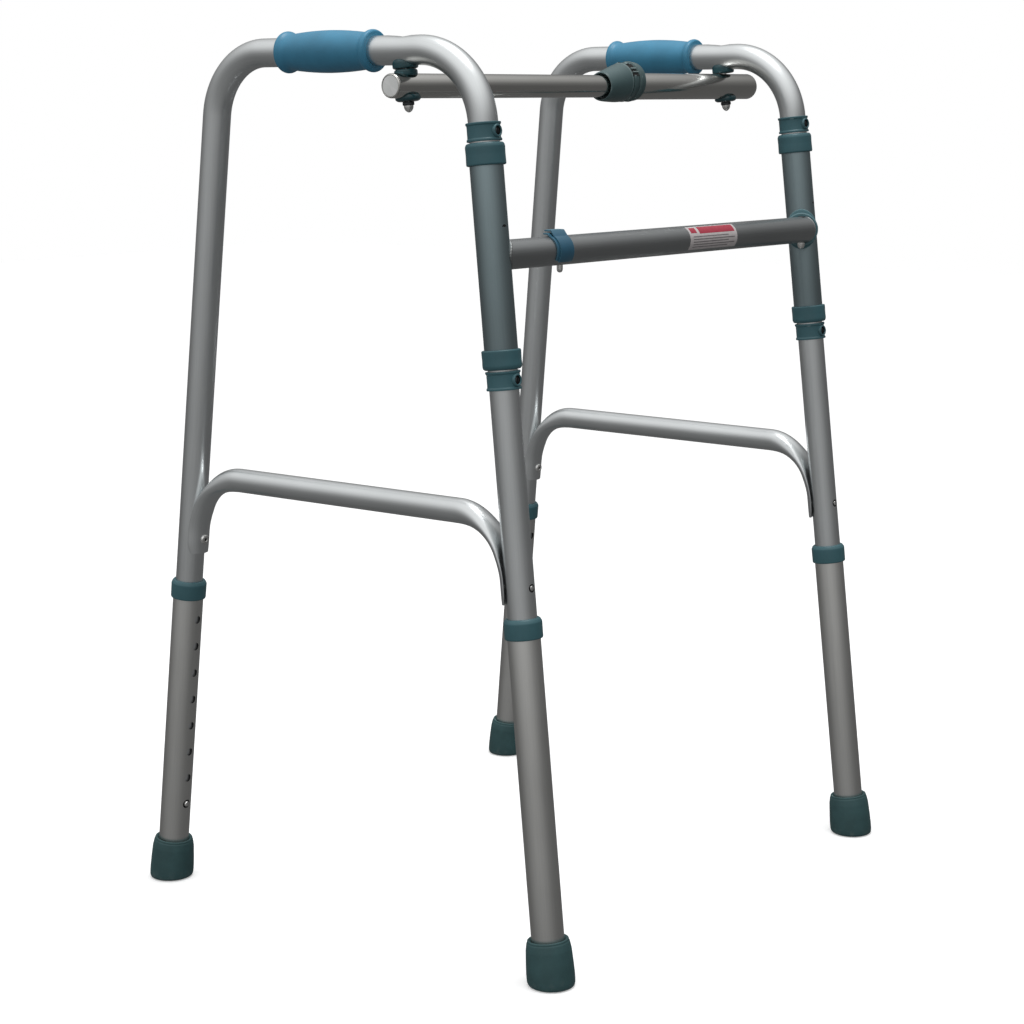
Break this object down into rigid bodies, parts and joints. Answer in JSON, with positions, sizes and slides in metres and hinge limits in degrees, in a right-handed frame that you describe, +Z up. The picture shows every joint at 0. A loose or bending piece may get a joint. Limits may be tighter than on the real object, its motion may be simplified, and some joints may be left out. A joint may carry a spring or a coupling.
{
  "type": "folding walking frame",
  "caption": "Folding walking frame: bent-tube side frames with grips, telescopic button-locked legs, a sleeved front crossbar and a locking telescopic top bar.",
  "frame": {"origin": "on the floor, at the middle of the four feet", "axes": "+Z up, -Y the walking direction (front), +X to the walking person's left"},
  "size_m": [0.5724, 0.5028, 0.8078],
  "materials": {
    "satin_tube": "satin anodised bent tube",
    "leg_tube": "slightly warmer, duller anodised tube of the leg extensions",
    "sleeve_tube": "dark grey satin sleeves and lower crossbar",
    "bar_tube": "satin anodised telescopic crossbar and its end plugs",
    "grip_vinyl": "steel-blue soft vinyl with a fine leathery grain",
    "teal_plastic": "dark teal moulded nylon, light along its edges",
    "clip_plastic": "blue-teal moulded spring clip",
    "foot_rubber": "dark teal rubber",
    "bright_steel": "zinc-bright fasteners and buttons",
    "dark_steel": "blackened screws, nuts and latch"
  },
  "bodies": {
    "front_bar": {"lower_bar": "sleeve_tube", "left_sleeve": "sleeve_tube", "bar_end_saddle": "teal_plastic", "bar_end_bolt": "bright_steel", "fold_clip": "clip_plastic", "clip_pin": "bright_steel", "right_upper_ring_bush": "teal_plastic", "right_lower_ring_bush": "teal_plastic", "left_upper_ring_bush": "teal_plastic", "left_lower_ring_bush": "teal_plastic"},
    "right_frame": {"right_frame_tube": "satin_tube", "right_grip": "grip_vinyl", "right_brace": "satin_tube", "right_front_brace_bolt": "bright_steel", "right_rear_brace_bolt": "bright_steel", "right_upper_collar": "teal_plastic", "right_lower_collar": "teal_plastic", "right_upper_collar_screw": "dark_steel", "right_lower_collar_screw": "dark_steel", "right_pivot_bolt": "bright_steel", "right_upper_saddle": "teal_plastic", "right_pivot_nut": "dark_steel"},
    "left_frame": {"left_frame_tube": "satin_tube", "left_grip": "grip_vinyl", "left_brace": "satin_tube", "left_front_brace_bolt": "bright_steel", "left_rear_brace_bolt": "bright_steel", "left_upper_collar": "teal_plastic", "left_lower_collar": "teal_plastic", "left_upper_collar_screw": "dark_steel", "left_lower_collar_screw": "dark_steel", "left_pivot_bolt": "bright_steel", "left_upper_saddle": "teal_plastic", "left_pivot_nut": "dark_steel"},
    "top_bar_inner": {"top_bar_inner_tube": "bar_tube", "inner_tube_plug": "bar_tube", "right_middle_saddle": "teal_plastic", "right_lower_saddle": "teal_plastic"},
    "top_bar_outer": {"top_bar_outer_tube": "bar_tube", "outer_tube_plug": "bar_tube", "lock_housing": "teal_plastic", "left_lower_saddle": "teal_plastic"},
    "lock_pull_ring": {"lock_ring": "teal_plastic"},
    "lock_latch_pin": {"lock_latch": "dark_steel"},
    "right_front_leg": {"right_front_extension": "leg_tube", "right_front_ferrule": "teal_plastic", "right_front_foot": "foot_rubber"},
    "right_front_button": {"right_front_snap_button": "bright_steel"},
    "right_rear_leg": {"right_rear_extension": "leg_tube", "right_rear_ferrule": "teal_plastic", "right_rear_foot": "foot_rubber"},
    "right_rear_button": {"right_rear_snap_button": "bright_steel"},
    "left_front_leg": {"left_front_extension": "leg_tube", "left_front_ferrule": "teal_plastic", "left_front_foot": "foot_rubber"},
    "left_front_button": {"left_front_snap_button": "bright_steel"},
    "left_rear_leg": {"left_rear_extension": "leg_tube", "left_rear_ferrule": "teal_plastic", "left_rear_foot": "foot_rubber"},
    "left_rear_button": {"left_rear_snap_button": "bright_steel"}
  },
  "joints": [
    {"name": "right_frame_fold", "type": "hinge", "parent": "front_bar", "child": "right_frame", "pos_m": [-0.25455, -0.23066, 0], "axis": [-0.0131, -0.1048, -0.9944], "range_deg": [0, 28]},
    {"name": "left_frame_fold", "type": "hinge", "parent": "front_bar", "child": "left_frame", "pos_m": [0.25455, -0.23066, 0], "axis": [-0.0131, 0.1048, 0.9944], "range_deg": [0, 28]},
    {"name": "top_bar_right_pivot", "type": "hinge", "parent": "right_frame", "child": "top_bar_inner", "pos_m": [-0.24595, -0.07178, 0.7595], "axis": [-0.0131, -0.1048, -0.9944], "range_deg": [-28, 0]},
    {"name": "top_bar_left_pivot", "type": "hinge", "parent": "left_frame", "child": "top_bar_outer", "pos_m": [0.24595, -0.07178, 0.7595], "axis": [-0.0131, 0.1048, 0.9944], "range_deg": [-28, 0]},
    {"name": "lock_ring_pull", "type": "slide", "parent": "top_bar_outer", "child": "lock_pull_ring", "axis": [1, 0, 0], "range_m": [0, 0.008], "stiffness_N_per_m": 300, "springref_m": -0.004},
    {"name": "lock_latch_lift", "type": "slide", "parent": "top_bar_outer", "child": "lock_latch_pin", "axis": [0, 0, 1], "range_m": [0, 0.0025]},
    {"name": "right_front_leg_slide", "type": "slide", "parent": "right_frame", "child": "right_front_leg", "axis": [-0.0131, -0.1048, -0.9944], "range_m": [0, 0.1855], "deforming": ["right_front_snap_button"]},
    {"name": "right_rear_leg_slide", "type": "slide", "parent": "right_frame", "child": "right_rear_leg", "axis": [-0.0169, 0.1042, -0.9944], "range_m": [0, 0.1855], "deforming": ["right_rear_snap_button"]},
    {"name": "left_front_leg_slide", "type": "slide", "parent": "left_frame", "child": "left_front_leg", "axis": [0.0131, -0.1048, -0.9944], "range_m": [0, 0.1855], "deforming": ["left_front_snap_button"]},
    {"name": "left_rear_leg_slide", "type": "slide", "parent": "left_frame", "child": "left_rear_leg", "axis": [0.0169, 0.1042, -0.9944], "range_m": [0, 0.1855], "deforming": ["left_rear_snap_button"]},
    {"name": "right_front_button_press", "type": "slide", "parent": "right_frame", "child": "right_front_button", "axis": [0.0196, -0.9943, 0.1045], "range_m": [0, 0.003], "stiffness_N_per_m": 900, "springref_m": -0.001},
    {"name": "right_rear_button_press", "type": "slide", "parent": "right_frame", "child": "right_rear_button", "axis": [-0.0164, 0.9944, 0.1045], "range_m": [0, 0.003], "stiffness_N_per_m": 900, "springref_m": -0.001},
    {"name": "left_front_button_press", "type": "slide", "parent": "left_frame", "child": "left_front_button", "axis": [-0.0196, -0.9943, 0.1045], "range_m": [0, 0.003], "stiffness_N_per_m": 900, "springref_m": -0.001},
    {"name": "left_rear_button_press", "type": "slide", "parent": "left_frame", "child": "left_rear_button", "axis": [0.0164, 0.9944, 0.1045], "range_m": [0, 0.003], "stiffness_N_per_m": 900, "springref_m": -0.001}
  ],
  "couplings": [
    {"joint": "left_frame_fold", "follows": "right_frame_fold", "ratio": 1},
    {"joint": "top_bar_right_pivot", "follows": "right_frame_fold", "ratio": -1},
    {"joint": "top_bar_left_pivot", "follows": "right_frame_fold", "ratio": -1},
    {"joint": "lock_latch_lift", "follows": "lock_ring_pull", "ratio": 0.3125}
  ]
}
